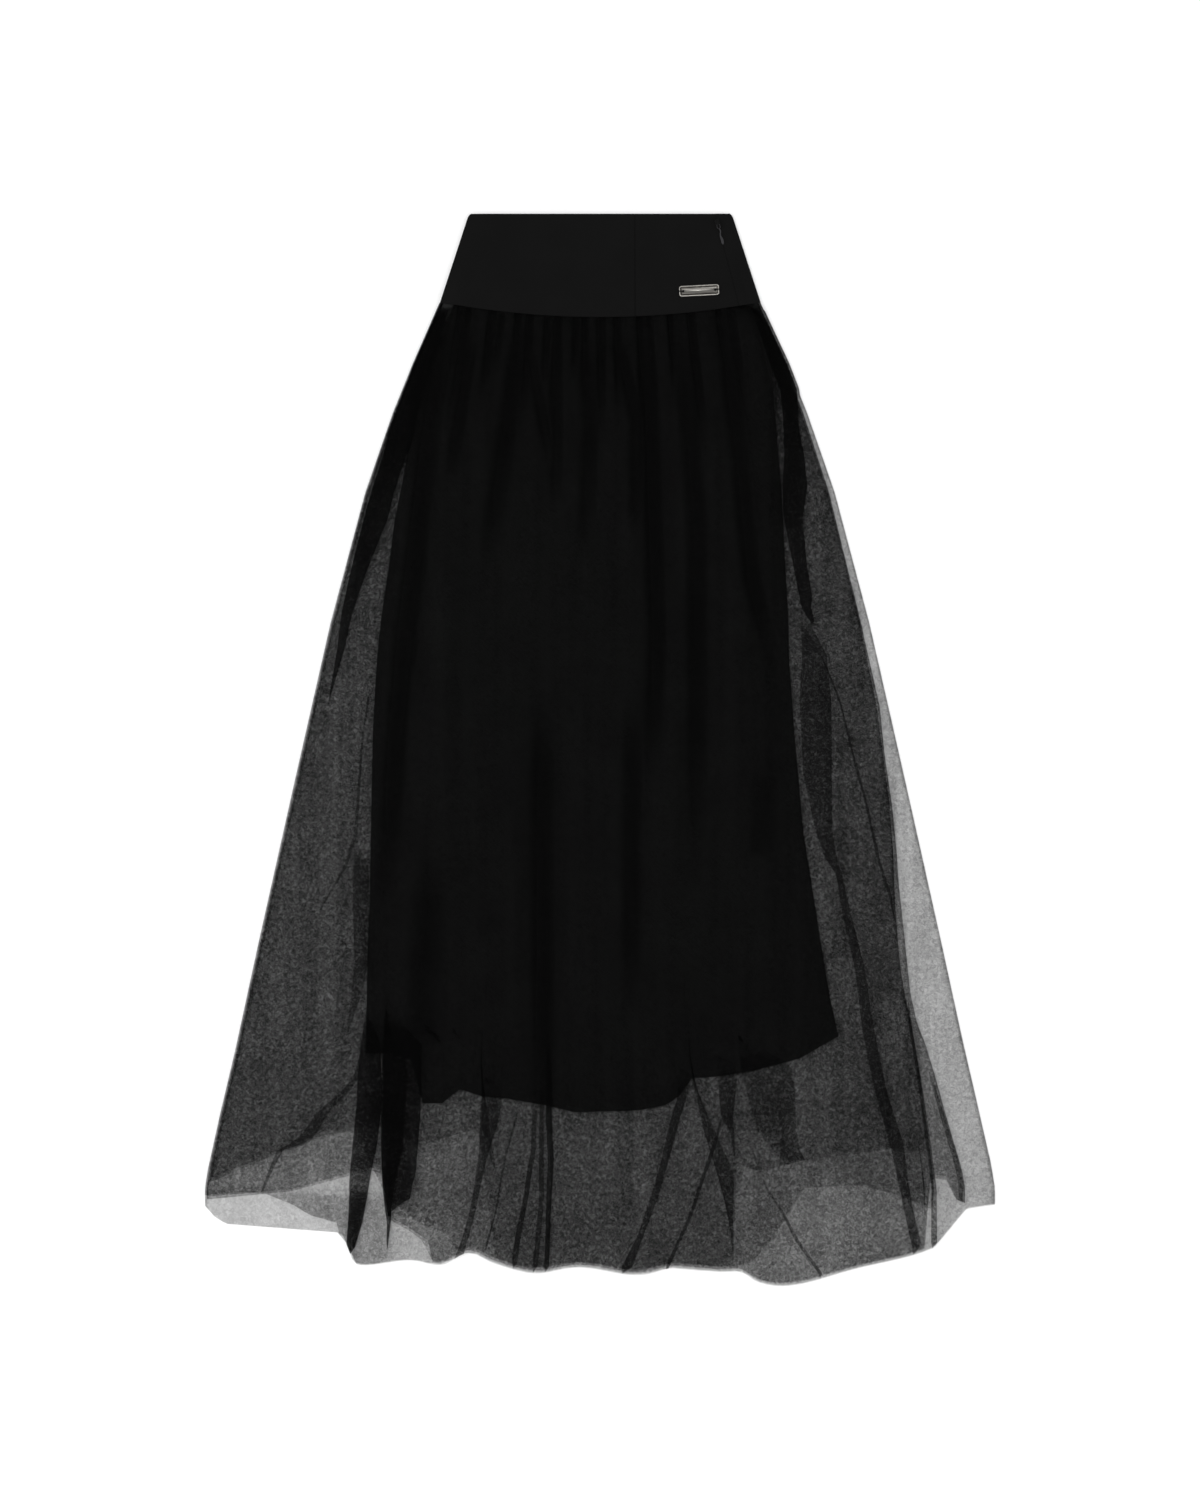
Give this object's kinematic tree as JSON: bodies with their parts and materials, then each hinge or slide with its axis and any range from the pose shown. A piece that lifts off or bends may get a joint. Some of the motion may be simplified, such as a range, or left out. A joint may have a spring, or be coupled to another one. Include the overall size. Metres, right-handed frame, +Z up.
{
  "type": "tulle skirt laid flat",
  "caption": "Long gathered net skirt with a fitted yoke, opaque lining and concealed side zip, laid flat on its back.",
  "frame": {"origin": "on the floor under the middle of the skirt's bounding box", "axes": "+Y towards the waist, +X towards the zip side, +Z up off the surface out of the front"},
  "size_m": [0.7928, 1.0724, 0.0203],
  "materials": {
    "yoke_cloth": "matt black heavy crepe",
    "net": "soft black tulle, fine even net",
    "lining": "soft black opaque lining",
    "plate_metal": "antiqued silver-grey metal",
    "zip_metal": "grey enamelled metal"
  },
  "bodies": {
    "skirt": {"yoke_front_left": "yoke_cloth", "yoke_front_right": "yoke_cloth", "yoke_back": "yoke_cloth", "net_outer_front": "net", "net_outer_back": "net", "net_middle_front": "net", "net_middle_back": "net", "net_inner_front": "net", "net_inner_back": "net", "lining_front": "lining", "lining_back": "lining", "badge_plate": "plate_metal", "zip_slider": "zip_metal"},
    "pull": {"zip_pull": "zip_metal"}
  },
  "joints": [
    {"name": "pull_hinge", "type": "hinge", "parent": "skirt", "child": "pull", "pos_m": [0.11792, 0.52492, 0.00814], "axis": [-0.9676, -0.2516, 0.0209], "range_deg": [0, 170]}
  ]
}
